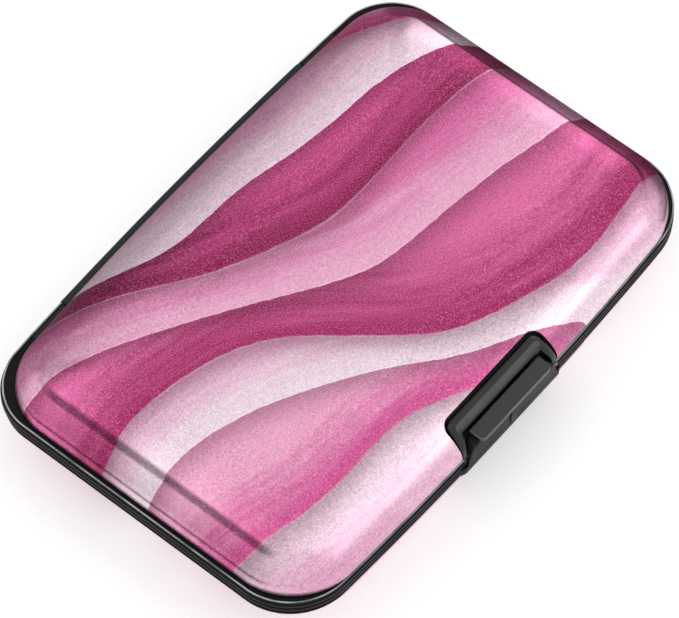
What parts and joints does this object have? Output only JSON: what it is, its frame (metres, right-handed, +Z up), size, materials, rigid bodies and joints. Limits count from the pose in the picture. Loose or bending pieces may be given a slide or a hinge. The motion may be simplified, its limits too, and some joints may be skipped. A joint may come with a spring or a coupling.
{
  "type": "card holder",
  "caption": "Flat hinged card holder: two printed aluminium covers on black moulded frames, a sprung front latch and a fan of clear pleated card pockets.",
  "frame": {"origin": "centre of the flat underside, on the surface the closed case lies on", "axes": "+Z up through the closed case, +X along its length, -Y towards the latch and +Y towards the hinge"},
  "size_m": [0.11, 0.076, 0.02],
  "materials": {
    "printed_aluminium": "satin lacquered print in pinks over brushed aluminium, bare at the rim",
    "black_abs": "semi-gloss black moulding",
    "steel": "bright drawn wire",
    "clear_film": "frosted clear polypropylene",
    "white_tape": "double-sided tape",
    "white_foam": "closed-cell adhesive foam"
  },
  "bodies": {
    "base": {"lower_frame": "black_abs", "lower_cover": "printed_aluminium", "lower_cover_pad": "white_foam", "lower_tape": "white_tape", "hinge_pin": "steel", "latch_pin": "steel", "latch_spring": "steel", "leaf_1": "clear_film", "pleat_1": "clear_film"},
    "lid": {"upper_frame": "black_abs", "upper_cover": "printed_aluminium", "upper_cover_pad": "white_foam", "upper_tape": "white_tape"},
    "button": {"latch_button": "black_abs"},
    "leaf_2_body": {"leaf_2": "clear_film", "pleat_2": "clear_film"},
    "leaf_3_body": {"leaf_3": "clear_film", "pleat_3": "clear_film"},
    "leaf_4_body": {"leaf_4": "clear_film", "pleat_4": "clear_film"},
    "leaf_5_body": {"leaf_5": "clear_film", "pleat_5": "clear_film"},
    "leaf_6_body": {"leaf_6": "clear_film", "pleat_6": "clear_film"},
    "leaf_7_body": {"leaf_7": "clear_film"}
  },
  "joints": [
    {"name": "lid_hinge", "type": "hinge", "parent": "base", "child": "lid", "pos_m": [0, 0.03535, 0.01], "axis": [-1, 0, 0], "range_deg": [0, 45]},
    {"name": "button_pivot", "type": "hinge", "parent": "base", "child": "button", "pos_m": [0, -0.03585, 0.0095], "axis": [1, 0, 0], "range_deg": [0, 5], "stiffness_Nm_per_rad": 0.05, "springref_deg": -5.73},
    {"name": "leaf_2_fold", "type": "hinge", "parent": "base", "child": "leaf_2_body", "pos_m": [0, 0.03535, 0.01], "axis": [-1, 0, 0], "range_deg": [0, 7.5]},
    {"name": "leaf_3_fold", "type": "hinge", "parent": "leaf_2_body", "child": "leaf_3_body", "pos_m": [0, 0.03535, 0.01], "axis": [-1, 0, 0], "range_deg": [0, 7.5]},
    {"name": "leaf_4_fold", "type": "hinge", "parent": "leaf_3_body", "child": "leaf_4_body", "pos_m": [0, 0.03535, 0.01], "axis": [-1, 0, 0], "range_deg": [0, 7.5]},
    {"name": "leaf_5_fold", "type": "hinge", "parent": "leaf_4_body", "child": "leaf_5_body", "pos_m": [0, 0.03535, 0.01], "axis": [-1, 0, 0], "range_deg": [0, 7.5]},
    {"name": "leaf_6_fold", "type": "hinge", "parent": "leaf_5_body", "child": "leaf_6_body", "pos_m": [0, 0.03535, 0.01], "axis": [-1, 0, 0], "range_deg": [0, 7.5]},
    {"name": "leaf_7_fold", "type": "hinge", "parent": "leaf_6_body", "child": "leaf_7_body", "pos_m": [0, 0.03535, 0.01], "axis": [-1, 0, 0], "range_deg": [0, 7.5]}
  ],
  "couplings": [
    {"joint": "leaf_2_fold", "follows": "lid_hinge", "ratio": 0.16667},
    {"joint": "leaf_3_fold", "follows": "lid_hinge", "ratio": 0.16667},
    {"joint": "leaf_4_fold", "follows": "lid_hinge", "ratio": 0.16667},
    {"joint": "leaf_5_fold", "follows": "lid_hinge", "ratio": 0.16667},
    {"joint": "leaf_6_fold", "follows": "lid_hinge", "ratio": 0.16667},
    {"joint": "leaf_7_fold", "follows": "lid_hinge", "ratio": 0.16667}
  ]
}
